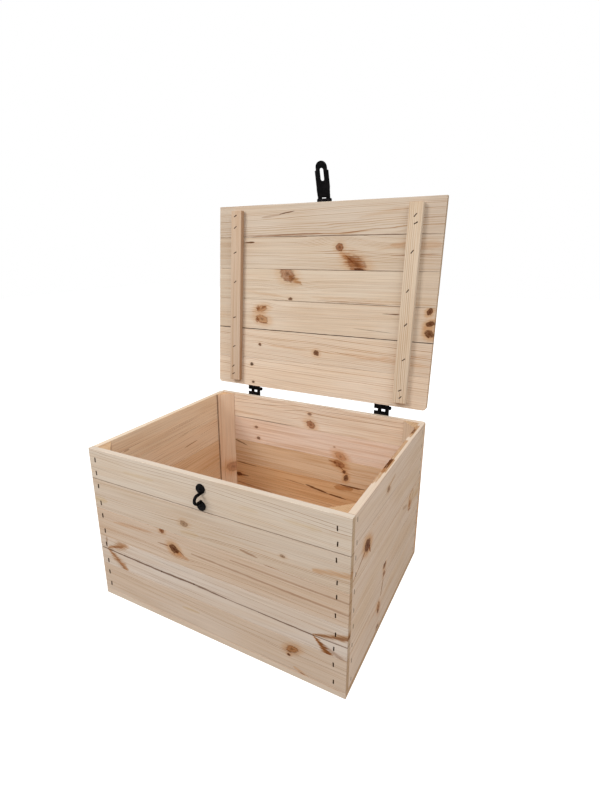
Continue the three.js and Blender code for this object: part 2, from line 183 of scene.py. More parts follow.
def newGroup(name, inputs, outputs):
    # An input's first value says what it is: a number, a vector of three or a colour of four.
    tree = bpy.data.node_groups.new(name, "ShaderNodeTree")
    for socketName, value in inputs.items():
        kind = {3: "Vector", 4: "Color"}[len(value)] if isinstance(value, tuple) else "Float"
        socket = tree.interface.new_socket(socketName, in_out="INPUT", socket_type="NodeSocket" + kind)
        socket.default_value = value
    for socketName, kind in outputs.items():
        tree.interface.new_socket(socketName, in_out="OUTPUT", socket_type="NodeSocket" + kind)
    return tree, tree.nodes.new("NodeGroupInput").outputs, tree.nodes.new("NodeGroupOutput").inputs


def useGroup(tree, group, inputs):
    return addNode(tree, "ShaderNodeGroup", inputs, node_tree=group).outputs


def newMaterial(name):
    material = bpy.data.materials.new(name)
    material.use_nodes = True
    return material, material.node_tree, material.node_tree.nodes["Principled BSDF"]


def objectMillimetres(tree):
    return scaled(tree, addNode(tree, "ShaderNodeTexCoord").outputs["Object"], (1 / mm,) * 3)


# Tints that the bare wood is multiplied by.
tints = {
    "black": linear(60, 42, 32),
    "heart": linear(102, 63, 38),
    "dark": linear(116, 78, 52),
    "brown": linear(172, 129, 92),
    "red": linear(172, 118, 78),
    "gold": linear(202, 160, 108),
    "halo": linear(238, 208, 174),
    "orange": linear(240, 214, 188),
    "amber": linear(246, 236, 212),
    "grey": linear(184, 168, 150),
}
washes = ("orange", "amber")  # tints that fade out softly into the wood

# Three numbers are the blotches of a noise in millimetres: along the grain, across and through it.
grainShape = {
    "seedStep": (137.1, 71.7, 39.3),  # millimetres between the grain of one seed and the next
    "slow": (380, 75, 75),
    "quick": (70, 14, 14),
    "quickReach": 3.0,  # millimetres that the quick noise moves a ring
    "rise": (0.42, 0.92),  # shares of a ring's width over which it darkens
    "fall": (0.94, 1.0),  # and over which it ends
    "weakest": 0.2,
    "strong": (150, 5, 5),
    "line": (0.66, 0.86),
    "lineChance": (0.58, 0.96),
    "broken": (190, 5, 5),
    "streak": (210, 5, 18),
    "cloud": (170, 42, 60),
    "fibre": (110, 1.1, 1.1),
    "pore": (9, 0.35, 0.35),
}


# Growth rings are cylinders round a pith line that runs along the board and leans a little.
# Place is in board millimetres: x along the grain, y across the face, z through the thickness.
def makeGrainGroup():
    tree, given, result = newGroup("pineGrain", {
        "Place": (0, 0, 0), "Bend": 0.0, "Pith": (0, 80, 30), "Lean": 0.0,
        "Spacing": 3.0, "Wander": 12.0, "Seed": 0.0,
    }, {name: "Float" for name in ("Ring", "Line", "Streak", "Cloud", "Fibre", "Pore")})
    shift = addNode(tree, "ShaderNodeCombineXYZ", {
        axis: times(tree, given["Seed"], step) for axis, step in zip("XYZ", grainShape["seedStep"])
    }).outputs[0]
    moved = vectorMaths(tree, "ADD", given["Place"], shift)

    def blotches(name, detail=1.0, roughness=0.5):
        finer = tuple(1 / size for size in grainShape[name])
        return noise(tree, scaled(tree, moved, finer), detail, roughness)

    slow = minus(tree, blotches("slow"), 0.5)
    quick = minus(tree, blotches("quick", 2.0), 0.5)
    parts, pith = partsOf(tree, given["Place"]), partsOf(tree, given["Pith"])
    leaning = times(tree, parts[0], given["Lean"])
    across = minus(tree, minus(tree, parts[1], pith[1]), leaning)
    deep = minus(tree, parts[2], pith[2])
    square = plus(tree, times(tree, across, across), times(tree, deep, deep))
    radius = maths(tree, "SQRT", square)
    radius = addTimes(tree, radius, slow, given["Wander"])
    radius = addTimes(tree, radius, quick, grainShape["quickReach"])
    radius = plus(tree, radius, given["Bend"])
    turns = maths(tree, "DIVIDE", radius, given["Spacing"])
    number = maths(tree, "FLOOR", turns)
    share = maths(tree, "FRACT", turns)
    # A ring darkens slowly over its width and ends sharply. Each has its own strength, weak or strong.
    rise = smoothRange(tree, share, *grainShape["rise"])
    fall = fading(tree, share, *grainShape["fall"])
    numbered = {"W": plus(tree, number, given["Seed"])}
    chance = addNode(tree, "ShaderNodeTexWhiteNoise", numbered, noise_dimensions="1D").outputs["Value"]
    weakest = grainShape["weakest"]
    strength = addTimes(tree, weakest, times(tree, chance, chance), 1 - weakest)
    strength = times(tree, strength, smoothRange(tree, blotches("strong"), 0.2, 0.75, 0.5, 1.4))
    ring = times(tree, times(tree, rise, fall), strength)
    # A few rings end in a thin dark line that comes and goes along the board.
    thin = times(tree, smoothRange(tree, share, *grainShape["line"]), fall)
    few = smoothRange(tree, chance, *grainShape["lineChance"])
    broken = smoothRange(tree, blotches("broken"), 0.4, 0.62)
    linkAll(tree, result, {
        "Ring": ring,
        "Line": times(tree, thin, few, broken),
        "Streak": blotches("streak", 3.0, 0.6),
        "Cloud": blotches("cloud"),
        "Fibre": blotches("fibre", 3.0, 0.6),
        "Pore": smoothRange(tree, blotches("pore"), 0.62, 0.74),
    })
    return tree


# A knot is an ellipse: its distance is 1 on the rim. The grain parts round it.
def knotDistance(tree, given):
    flat = scaled(tree, vectorMaths(tree, "SUBTRACT", given["Place"], given["Centre"]), (1, 1, 0))
    turning = {"Vector": flat, "Angle": given["Turn"]}
    turned = addNode(tree, "ShaderNodeVectorRotate", turning, rotation_type="Z_AXIS").outputs[0]
    return lengthOf(tree, vectorMaths(tree, "DIVIDE", turned, given["Size"])), flat


# The pairs are distances from the middle, 1 being the rim, over which a part starts or ends.
knotShape = {
    "core": (0.78, 1.08),
    "heart": (0.06, 0.5),
    "rimStart": (0.66, 0.92),
    "rimEnd": (0.96, 1.16),
    "halo": (0.9, 2.5),
    "lobes": 0.5,  # how far the rim wanders from the ellipse
    "ragged": 0.8,
    "heartShare": 0.7,
    "rimShare": 0.45,
}


def makeKnotGroup():
    tree, given, result = newGroup("pineKnot", {
        "Colour": (1, 1, 1, 1), "Place": (0, 0, 0), "Centre": (0, 0, 0), "Size": (5, 5, 5),
        "Turn": 0.0, "Dark": 0.8, "Core": linear(188, 151, 118), "Halo": 0.35,
    }, {"Colour": "Color", "Mask": "Float"})
    distance, flat = knotDistance(tree, given)
    ragged = minus(tree, noise(tree, scaled(tree, given["Place"], (0.13, 0.22, 0)), 3.0), 0.5)
    # Noise read on a circle round the middle gives each knot its own lobes and spokes.
    away = vectorMaths(tree, "NORMALIZE", vectorMaths(tree, "DIVIDE", flat, given["Size"]))
    about = scaled(tree, away, (1.1, 1.1, 0))
    about = vectorMaths(tree, "ADD", about, scaled(tree, given["Centre"], (0.37, 0.61, 0)))
    lobes = minus(tree, noise(tree, about), 0.5)
    spokes = noise(tree, scaled(tree, about, (5.0, 5.0, 0)), 2.0)
    distance = addTimes(tree, distance, lobes, knotShape["lobes"])
    distance = addTimes(tree, distance, ragged, knotShape["ragged"])
    core = fading(tree, distance, *knotShape["core"])
    heart = fading(tree, distance, *knotShape["heart"])
    rim = smoothRange(tree, distance, *knotShape["rimStart"])
    rim = times(tree, rim, fading(tree, distance, *knotShape["rimEnd"]))
    rim = times(tree, rim, smoothRange(tree, spokes, 0.32, 0.56))
    halo = times(tree, fading(tree, distance, *knotShape["halo"]), given["Halo"])
    rings = maths(tree, "SINE", addTimes(tree, times(tree, ragged, 8.0), distance, 19.0))
    inside = addTimes(tree, addTimes(tree, 0.6, spokes, 0.5), rings, 0.09, clamp=True)
    stained = mixColour(tree, halo, given["Colour"], tinted(tree, given["Colour"], tints["halo"]))
    browned = tinted(tree, stained, given["Core"])
    deep = tinted(tree, stained, tints["heart"])
    colour = mixColour(tree, times(tree, core, given["Dark"], inside), stained, browned)
    colour = mixColour(tree, times(tree, heart, given["Dark"], knotShape["heartShare"]), colour, deep)
    colour = mixColour(tree, times(tree, rim, given["Dark"], knotShape["rimShare"]), colour, deep)
    linkAll(tree, result, {"Colour": colour, "Mask": times(tree, core, given["Dark"])})
    return tree


# The bend takes away most of the rise of the rings across a knot, so the lines part round it:
# it is the height above the knot's middle times a bell of the distance from it.
def makeBendGroup():
    tree, given, result = newGroup("grainRoundKnot", {
        "Bend": 0.0, "Place": (0, 0, 0), "Centre": (0, 0, 0), "Size": (5, 5, 5),
        "Turn": 0.0, "Amount": 0.8,
    }, {"Bend": "Float"})
    distance, flat = knotDistance(tree, given)
    bell = maths(tree, "EXPONENT", times(tree, distance, distance, -0.16))
    amount = times(tree, partsOf(tree, flat)[1], bell, given["Amount"])
    linkAll(tree, result, {"Bend": plus(tree, given["Bend"], amount)})
    return tree


# A mark is a tapered line from one point to another: a crack, a streak, a spike knot, a dent.
def makeMarkGroup():
    tree, given, result = newGroup("pineMark", {
        "Colour": (1, 1, 1, 1), "Place": (0, 0, 0), "From": (0, 0, 0), "To": (10, 0, 0),
        "Width From": 1.0, "Width To": 1.0, "Soft": 0.5, "Ragged": 0.4, "Strength": 0.8,
        "Tint": linear(112, 80, 60), "Taper": 1.0, "Depth": 0.0, "Side": 0.0,
    }, {"Colour": "Color", "Mask": "Float"})
    place = scaled(tree, given["Place"], (1, 1, 0))
    along = vectorMaths(tree, "SUBTRACT", given["To"], given["From"])
    offset = vectorMaths(tree, "SUBTRACT", place, given["From"])
    length = dot(tree, along, along)
    share = maths(tree, "DIVIDE", dot(tree, offset, along), length, clamp=True)
    reached = {0: along, "Scale": share}
    nearest = addNode(tree, "ShaderNodeVectorMath", reached, operation="SCALE").outputs[0]
    distance = lengthOf(tree, vectorMaths(tree, "SUBTRACT", offset, nearest))
    widen = minus(tree, given["Width To"], given["Width From"])
    width = addTimes(tree, given["Width From"], widen, share)
    # The mark thins out towards both ends, by the fourth power of the distance from its middle.
    fromMiddle = addTimes(tree, -1.0, share, 2.0)
    thinning = times(tree, maths(tree, "POWER", maths(tree, "ABSOLUTE", fromMiddle), 4.0), given["Taper"])
    width = times(tree, width, minus(tree, 1.02, thinning))
    rough = minus(tree, noise(tree, scaled(tree, given["Place"], (0.05, 0.5, 0.5)), 3.0), 0.5)
    rough = times(tree, rough, given["Ragged"])
    edge = addTimes(tree, maths(tree, "DIVIDE", distance, width), rough, 2.6)
    mask = fading(tree, edge, minus(tree, 1.0, given["Soft"]), 1.15)
    mask = times(tree, mask, given["Strength"])
    # Side 1 keeps the mark to where z is Depth or more, and -1 to where it is Depth or less.
    deep = partsOf(tree, given["Place"])[2]
    deep = times(tree, minus(tree, deep, given["Depth"]), given["Side"])
    mask = times(tree, mask, smoothRange(tree, deep, -0.6, 0.0))
    colour = mixColour(tree, mask, given["Colour"], tinted(tree, given["Colour"], given["Tint"]))
    linkAll(tree, result, {"Colour": colour, "Mask": mask})
    return tree


pineGrain = makeGrainGroup()
pineKnot = makeKnotGroup()
grainRoundKnot = makeBendGroup()
pineMark = makeMarkGroup()


def mark(start, end, widths, tint="dark", strength=0.8, soft=None, ragged=None,
         taper=1.0, depth=0.0, side=0.0, sunk=False):
    # A line in board millimetres, with its width at both ends. Sunk, it is also a dent.
    usualSoft, usualRagged = (1.0, 0.9) if tint in washes else (0.7, 0.5)
    return {"sunk": sunk, "inputs": {
        "From": (*start, 0), "To": (*end, 0), "Width From": widths[0], "Width To": widths[1],
        "Tint": tints[tint], "Strength": strength,
        "Soft": usualSoft if soft is None else soft,
        "Ragged": usualRagged if ragged is None else ragged,
        "Taper": taper, "Depth": depth, "Side": side,
    }}


def crack(*legs):
    # Each leg is a point, two widths and a strength, and it runs to the next leg's point.
    return [
        mark(leg[:2], ahead[:2], leg[2:4], "dark", leg[4], taper=0.1, sunk=True)
        for leg, ahead in zip(legs, legs[1:])
    ]


def knot(middle, size, core="brown", dark=0.85, halo=0.35, turn=0):
    # An ellipse in board millimetres, with its half width and half height, turned by degrees.
    return {
        "Centre": (*middle, 0), "Size": (*size, 1), "Turn": math.radians(-turn),
        "Core": tints[core], "Dark": dark, "Halo": halo,
    }


def boardSpace(tree, along, across, start):
    # Turns metres into board millimetres: x along the grain, y across it, z square to both.
    along, across = Vector(along).normalized(), Vector(across).normalized()
    turn = Matrix((along, across, along.cross(across)))
    origin = turn @ Vector(start)
    place = addNode(tree, "ShaderNodeTexCoord")
    spaced = addNode(tree, "ShaderNodeMapping", {
        "Vector": place.outputs["Object"],
        "Location": tuple(-origin / mm),
        "Rotation": tuple(turn.to_euler("XYZ")),
        "Scale": (1 / mm, 1 / mm, 1 / mm),
    }, vector_type="POINT").outputs[0]
    return spaced, place.outputs["Normal"], along, across


def facing(tree, normal, axis, strength):
    # Where the surface looks along the axis, either way.
    towards = maths(tree, "ABSOLUTE", dot(tree, normal, tuple(axis)))
    return smoothRange(tree, towards, 0.75, 0.95, 0.0, strength)


def pineMaterial(name, space, look):
    material, tree, shader = newMaterial(name)
    place, normal, along, across = boardSpace(tree, *space)
    draws = np.random.default_rng(look["seed"])
    side = draws.choice([-1.0, 1.0])
    pithAcross = look["middle"] + side * draws.uniform(*look["pithAway"])
    pithDeep = draws.choice([-1.0, 1.0]) * draws.uniform(*look["pithDeep"])

    bend = 0.0
    for spot in look["knots"]:
        centre, size = spot["Centre"], spot["Size"]
        bend = useGroup(tree, grainRoundKnot, {
            "Bend": bend,
            "Place": place,
            "Centre": centre,
            "Size": (size[0] * look["bendReach"][0], size[1] * look["bendReach"][1], 1),
            "Turn": spot["Turn"],
            "Amount": math.copysign(look["parting"], pithAcross - centre[1]),
        })["Bend"]
    grain = useGroup(tree, pineGrain, {
        "Place": place,
        "Bend": bend,
        "Pith": (0, pithAcross, pithDeep),
        "Lean": draws.uniform(*look["lean"]),
        "Spacing": draws.uniform(*look["spacing"]),
        "Wander": look["wander"],
        "Seed": float(draws.uniform(*look["seeds"])),
    })

    base = look["colour"]
    if "outside" in look:
        # The outer faces of a wall's boards are all one colour, and the inner faces differ: their colours
        # carry painted light and shade from inside the box.
        outer = dot(tree, normal, look["outward"])
        base = mixColour(tree, smoothRange(tree, outer, 0.5, 0.9), base, look["outside"])
    clouded = tinted(tree, base, look["cloud"])
    colour = mixColour(tree, smoothRange(tree, grain["Cloud"], 0.35, 0.68), base, clouded)
    late = tinted(tree, colour, look["late"])
    colour = mixColour(tree, times(tree, grain["Ring"], look["ringStrength"]), colour, late)
    lined = tinted(tree, colour, look["line"])
    colour = mixColour(tree, times(tree, grain["Line"], look["lineStrength"]), colour, lined)
    streaked = tinted(tree, colour, look["streak"])
    streakShare = smoothRange(tree, grain["Streak"], 0.45, 0.72, 0.0, look["streakStrength"])
    colour = mixColour(tree, streakShare, colour, streaked)
    shade = smoothRange(tree, grain["Fibre"], 0.2, 0.8, *look["fibreShade"])
    shade = addTimes(tree, shade, grain["Pore"], look["poreShade"])
    shades = {channel: shade for channel in ("Red", "Green", "Blue")}
    colour = tinted(tree, colour, addNode(tree, "ShaderNodeCombineColor", shades).outputs[0])

    # The sawn edges of a board are plainer and paler than its faces. The left batten's edge colour is a
    # dark brown instead: painted shade on its side faces.
    colour = mixColour(tree, facing(tree, normal, across, look["edgeStrength"]), colour, look["edge"])

    dent = 0.0
    for spot in look["marks"]:
        made = useGroup(tree, pineMark, {"Colour": colour, "Place": place, **spot["inputs"]})
        colour = made["Colour"]
        if spot["sunk"]:
            dent = maths(tree, "MAXIMUM", dent, made["Mask"])
    hard = 0.0
    for spot in look["knots"]:
        made = useGroup(tree, pineKnot, {"Colour": colour, "Place": place, **spot})
        colour = made["Colour"]
        hard = maths(tree, "MAXIMUM", hard, made["Mask"])

    # End grain is a little darker: the faces that look along the grain.
    endShare = facing(tree, normal, along, look["endStrength"])
    colour = mixColour(tree, endShare, colour, tinted(tree, colour, look["endGrain"]))

    least, added = look["roughness"]
    roughness = addTimes(tree, least, grain["Fibre"], added)
    roughness = addTimes(tree, roughness, hard, -0.14)
    shader.inputs["Specular IOR Level"].default_value = look["specular"]
    # Rings and knots stand a little proud, and pores and dents lie below the face.
    height = addTimes(tree, times(tree, grain["Fibre"], 0.5), grain["Ring"], 0.35)
    for value, rise in ((grain["Pore"], -0.4), (dent, -1.6), (hard, 0.5)):
        height = addTimes(tree, height, value, rise)
    bump = addNode(tree, "ShaderNodeBump", {"Height": height, **look["bump"]}).outputs[0]
    linkAll(tree, shader.inputs, {"Base Color": colour, "Roughness": roughness, "Normal": bump})
    return material


def dress(name, material):
    node = nodes[name]
    node.data.materials.clear()
    node.data.materials.append(material)


plainLook = {
    "colour": linear(214, 195, 174),
    "cloud": linear(252, 248, 243),
    "late": linear(228, 204, 180),
    "line": linear(190, 155, 122),
    "streak": linear(236, 220, 204),
    "edge": linear(218, 203, 184),
    "endGrain": linear(232, 214, 190),
    "ringStrength": 0.75,
    "lineStrength": 0.6,
    "streakStrength": 0.4,
    "edgeStrength": 0.55,
    "endStrength": 0.8,
    "fibreShade": (0.9, 1.08),
    "poreShade": -0.07,
    "pithAway": (45, 120),  # millimetres from the middle of the board
    "pithDeep": (6, 40),
    "lean": (-0.035, 0.035),
    "spacing": (1.8, 3.2),
    "wander": 12.0,
    "seeds": (0, 40),
    "parting": 0.4,  # how far the rings part round a knot
    "bendReach": (1.9, 1.25),  # in half widths and half heights of the knot
    "roughness": (0.58, 0.18),  # the least, and what the fibre adds
    "specular": 0.01,
    "bump": {"Strength": 0.55, "Distance": 0.16 * mm},
    "knots": [],
    "marks": [],
}


def lookOf(base, own):
    # A mark or knot given for one board is added to those that its base look has.
    look = {**base, **own}
    look["knots"] = base["knots"] + own.get("knots", [])
    look["marks"] = base["marks"] + own.get("marks", [])
    return look


lidHinge = Vector(joints["lid_hinge"]["pos_m"])
lidShut = math.radians(joints["lid_hinge"]["range_deg"][1])
openTurn = Matrix.Rotation(-lidShut, 3, "X")
lidForward = openTurn @ Vector((0, -1, 0))
boxLow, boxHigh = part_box("base_board_1")[0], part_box("base_board_5")[1]
boardThickness = (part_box("left_board_1")[1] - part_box("left_board_1")[0]).x

# A wall has the direction of its grain, the direction across it and a zero point as its space, and
# a look for all its boards. Then come the boards, each with what differs from that look. The knots
# and marks are in millimetres from the zero point. The seed grows by one from board to board.

# Millimetres from the left end, and up from the floor.
frontWall = {
    "seed": 10,
    "space": ((1, 0, 0), (0, 0, 1), (boxLow.x, boxLow.y, 0)),
    "look": {
        "colour": linear(207, 191, 175), "late": linear(229, 208, 188), "edge": linear(214, 201, 186),
        "ringStrength": 0.7, "lineStrength": 0.85,
    },
    "front_board_1": {
        "colour": linear(205, 186, 168), "ringStrength": 0.6, "wander": 16.0, "pithDeep": (12, 40),
        "knots": [
            knot((410, 52), (11, 6.5), "gold", 0.9, 0.7, turn=22),
            knot((404.5, 39), (3, 2.4), "dark", 1.0, 0.5),
        ],
        "marks": [
            mark((190, 42), (232, 45), (4, 4), "amber", 0.7),
            mark((412, 20), (442, 9), (5, 3), "orange"),
            mark((424, 14), (434, 11), (1.4, 1.2), "brown", 0.7),
        ],
    },
    "front_board_2": {
        "colour": linear(210, 195, 181), "ringStrength": 0.55,
        "marks": [
            mark((18, 107), (72, 127), (3, 8), "orange", taper=0.4),
            mark((18, 104), (64, 72), (3, 8), "orange", 0.9, taper=0.4),
            mark((20, 108), (66, 127), (4, 14), "gold", 0.62, soft=0.9, ragged=1.2, taper=0.5),
            mark((30, 112), (60, 122), (1.6, 3), "brown", 0.45, ragged=1.2),
            mark((20, 104), (60, 74), (5, 15), "gold", 0.65, soft=0.9, ragged=1.2, taper=0.5),
            mark((22, 103), (50, 84), (1.6, 3.6), "brown", 0.4, ragged=1.2),
            mark((36, 88), (58, 73), (1.6, 4), "brown", 0.4, ragged=1.3),
            mark((15, 108), (18, 131), (2, 4), "brown", 0.5),
            mark((446, 96), (510, 116), (3, 9), "gold", soft=0.8, ragged=0.8, taper=0.2),
            mark((450, 98), (504, 112), (1.6, 3.6), "brown", 0.6, ragged=0.9, taper=0.2),
            mark((446, 94), (478, 66), (3, 8), "orange", 0.9, taper=0.3),
            mark((448, 93), (474, 67), (3, 10), "gold", 0.9, ragged=0.9, taper=0.5),
            mark((450, 91), (472, 71), (2.4, 7), "brown", 0.55, ragged=1.1, taper=0.4),
            mark((456, 88), (504, 66), (2, 5), "brown", 0.45, taper=0.3),
            *crack(
                (5, 105, 1.7, 1.6, 0.85), (60, 103, 2.2, 2.3, 0.85), (150, 101, 2.3, 2.5, 0.85),
                (222, 101, 2.5, 1.6, 0.8), (288, 98, 1.4, 1.5, 0.6), (350, 97, 1.3, 1.7, 0.85),
                (446, 95, 1.3, 1.2, 0.7), (502, 96),
            ),
        ],
    },
    "front_board_3": {
        "colour": linear(206, 185, 165), "late": linear(226, 196, 168),
        "knots": [
            knot((159, 186.5), (5.6, 4.4), "red", 0.95, 0.6),
            knot((184, 158), (10.5, 7.5), "dark", 1.0, 0.9, turn=-24),
        ],
        "marks": [
            mark((186, 154), (216, 146), (7, 4), "orange", 0.9),
            mark((172, 160), (146, 160), (2.4, 1), "brown", 0.7),
            mark((192, 160), (206, 150), (1.6, 1.0), "dark", 0.6),
            mark((40, 169), (140, 176), (5, 4), "orange", 0.6),
            mark((222, 161), (506, 152), (2.2, 2.2), "brown", 0.5, taper=0.3),
            mark((300, 176), (506, 172), (1.8, 2.4), "brown", 0.4, taper=0.3),
        ],
    },
    "front_board_4": {
        "colour": linear(207, 190, 172), "ringStrength": 0.9, "spacing": (1.7, 2.3),
        "knots": [
            knot((210, 215), (8, 5), "grey", 0.8, 0.4),
            knot((395, 215), (4.6, 2.8), "grey", 0.8, 0.3),
        ],
        "marks": [
            mark((200, 198), (240, 201), (6, 6), "amber", 0.5),
            mark((318, 202), (352, 197), (2.4, 2.4), "brown", 0.6),
            mark((445, 209), (510, 219), (5, 9), "orange", 0.9, taper=0.3),
            mark((-10, 208), (34, 208), (12, 6), "amber"),
        ],
    },
    "front_board_5": {
        "colour": linear(212, 197, 180), "wander": 18.0,
        "marks": [
            mark((80, 279), (154, 278), (4, 6), "amber", 0.45),
            mark((320, 276), (355, 276), (4, 4), "amber", 0.35),
            mark((395, 277), (458, 276), (5, 6), "amber", 0.5),
            mark((-4, 249.4), (504, 249.4), (1.1, 1.1), "dark", 0.6, taper=0.0),
        ],
    },
}

# Millimetres back from the front corner, and up from the floor.
rightWall = {
    "seed": 20,
    "space": ((0, 1, 0), (0, 0, 1), (boxHigh.x, boxLow.y, 0)),
    "look": {
        "colour": linear(224, 201, 180), "cloud": linear(250, 246, 238),
        "ringStrength": 0.5, "streakStrength": 0.5,
    },
    "right_board_1": {
        "knots": [
            knot((147, 57), (7, 12), "gold", 0.75, 0.5, turn=20),
            knot((146, 49), (3.6, 5), "dark", 0.8, 0.3, turn=20),
            knot((148, 13), (7, 5), "dark", 0.9, 0.5),
        ],
        "marks": [mark((140, 60), (88, 61), (5, 2), "orange", 0.5)],
    },
    "right_board_2": {
        "knots": [
            knot((171, 127), (7, 7), "dark", 0.9, 0.7),
            knot((170, 109), (7, 5), "brown", 0.8, 0.4, turn=-20),
        ],
        "marks": [
            mark((168, 104), (156, 70), (2.6, 3), "gold", ragged=0.8),
            mark((168, 98), (160, 78), (1.4, 1.6), "dark", 0.6, ragged=0.9),
        ],
    },
    "right_board_3": {
        "knots": [knot((324, 166), (7, 9), "gold", 0.75, 0.7, turn=30)],
        "marks": [
            mark((318, 184), (400, 158), (8, 16), "amber", 0.5),
            mark((312, 158), (338, 150), (3, 2.4), "brown", 0.7, ragged=1.0),
            mark((336, 152), (350, 186), (2, 2), "gold", ragged=1.0),
            mark((310, 182), (350, 190), (2.4, 2), "gold", ragged=1.0),
            mark((270, 182), (305, 172), (5, 5), "brown", 0.35),
        ],
    },
    "right_board_4": {
        "knots": [knot((69, 226), (14, 10), "dark", 1.0, 0.9, turn=-24)],
        "marks": [
            mark((76, 222), (86, 204), (3.4, 2), "red", 0.9, ragged=0.8),
            mark((62, 222), (30, 208), (3, 1.4), "brown", ragged=0.8),
            mark((40, 212), (-2, 197), (1.8, 1.6), "gold"),
        ],
    },
    "right_board_5": {
        "colour": linear(225, 203, 183),
        "knots": [knot((166, 273), (8, 5.5), "grey", 0.9, 0.4, turn=-10)],
        "marks": [
            mark((172, 277), (206, 284), (4, 2), "gold", 0.5, ragged=0.9),
            mark((15, 259), (235, 252), (2, 2), "brown", 0.25),
            mark((100, 309), (300, 308), (5, 7), "gold", 0.7, ragged=1.2, depth=-5.4, side=-1),
            mark((146, 309), (206, 308), (5, 7), "gold", ragged=1.2, depth=-3.0, side=-1),
            mark((164, 309), (208, 308), (5, 6), "dark", 0.75, ragged=1.2, depth=-6.0, side=-1),
            mark((312, 309), (388, 309), (6, 6), "gold", ragged=1.2, depth=-5.0, side=-1),
            mark((334, 309), (362, 309), (4, 4), "dark", 0.7, ragged=1.2, depth=-6.6, side=-1),
        ],
    },
}

# Millimetres from the inner face of the left wall, and up from the floor.
backWall = {
    "seed": 30,
    "space": ((1, 0, 0), (0, 0, 1), (boxLow.x + boardThickness, boxHigh.y - boardThickness, 0)),
    "look": {
        "colour": linear(220, 198, 174), "late": linear(220, 190, 160),
        "streakStrength": 0.9, "lineStrength": 0.8,
        "outside": linear(214, 195, 174), "outward": (0, 1, 0),
    },
    # Inside, the boards run from a darker orange on the lower courses to a pale colour on the upper ones:
    # painted shade low down inside the box and painted light on its upper boards.
    "back_board_1": {
        "colour": linear(222, 182, 142),
        "marks": [mark((28, 70), (140, 62), (4, 2), "brown", 0.5)],
    },
    "back_board_2": {
        "colour": linear(221, 180, 138),
        "knots": [knot((36, 92), (10, 5), "dark", 1.0, 0.6)],
        "marks": [
            mark((42, 92), (68, 92), (4, 1), "dark", 0.7),
            mark((30, 127), (92, 124), (2.4, 1.2), "dark", 0.7),
            mark((170, 109), (225, 106), (1.2, 1.8), "brown", 0.7),
            mark((225, 108), (285, 98), (3.2, 2.8), "dark", 0.9, sunk=True),
            mark((285, 98), (330, 94), (2.8, 1.6), "dark", 0.9, sunk=True),
            mark((298, 120), (346, 124), (8, 9), "gold", 0.7, ragged=1.0),
            mark((312, 130), (374, 130), (5, 4), "dark", 0.9, soft=0.6, ragged=0.8),
        ],
    },
    "back_board_3": {
        "colour": linear(223, 192, 160),
        "knots": [
            knot((310, 179), (14, 8), "red", 0.68, 0.8, turn=-25),
            knot((322, 162), (4.2, 3.6), "dark", 0.95, 0.6),
            knot((327, 148), (5.5, 8), "dark", 0.9, 0.7, turn=-15),
        ],
        "marks": [
            mark((304, 180), (282, 184), (4, 2), "brown", 0.7, ragged=1.2),
            mark((308, 176), (322, 164), (3, 2), "brown", 0.7, ragged=1.0),
            mark((22, 188), (66, 176), (3, 1.4), "dark", 0.75),
        ],
    },
    "back_board_4": {
        "colour": linear(238, 214, 196), "ringStrength": 0.4, "lineStrength": 0.3,
        "knots": [
            knot((92, 230), (5.2, 3.6), "dark", 0.75, 0.3),
            knot((98, 202), (4.8, 4.2), "dark", 0.85, 0.3),
            knot((297, 218), (3, 2), "brown", 0.6, 0.2),
            knot((312, 199), (14, 8), "gold", 0.5, 0.8, turn=-20),
        ],
    },
    "back_board_5": {
        "colour": linear(236, 217, 197), "spacing": (3.2, 4.6),
        "knots": [
            knot((235, 286), (5.4, 3.8), "dark", 0.75, 0.35),
            knot((238, 261), (12, 8), "red", 0.85, 0.6, turn=-28),
        ],
        "marks": [mark((30, 249.4), (200, 250), (1.4, 1.0), "dark", 0.7)],
    },
}

# Millimetres back from the front corner, and up from the floor.
leftWall = {
    "seed": 40,
    "space": ((0, 1, 0), (0, 0, 1), (boxLow.x, boxLow.y, 0)),
    "look": {
        # The inner faces are a warmer orange than the outer ones: painted light, the warm light bounced
        # round inside the box.
        "colour": linear(230, 196, 160),
        "streakStrength": 0.6, "ringStrength": 0.95, "lineStrength": 1.0,
        "outside": linear(212, 193, 172), "outward": (-1, 0, 0),
    },
    "left_board_1": {"knots": [knot((120, 40), (9, 6), dark=0.8, turn=12)]},
    "left_board_2": {"knots": [knot((300, 96), (6, 5), "dark", 0.75)]},
    "left_board_3": {"marks": [mark((60, 160), (180, 156), (2, 2), "brown", 0.35)]},
    # The upper two boards are paler inside: painted light on the top of the inside.
    "left_board_4": {"colour": linear(238, 213, 186), "marks": [
        mark((242, 217), (290, 219), (1.6, 1.6), "brown", 0.7),
    ]},
    "left_board_5": {"colour": linear(240, 217, 190), "marks": [
        mark((68, 275), (84, 275), (2, 2), "brown", 0.6),
    ]},
}


def shutBox(name):
    # Corners of a lid piece after the lid is turned down onto the box.
    turn = Matrix.Rotation(lidShut, 3, "X")
    points = np.array([lidHinge + turn @ (vertex.co - lidHinge) for vertex in nodes[name].data.vertices])
    return Vector(points.min(0)), Vector(points.max(0))


def opened(point):
    # Where a point of the shut lid lies when the lid stands open.
    return lidHinge + openTurn @ (Vector(point) - lidHinge)


shutLow, shutHigh = shutBox("lid_board_1")
lidStart = opened((shutLow.x, shutHigh.y, shutLow.z))

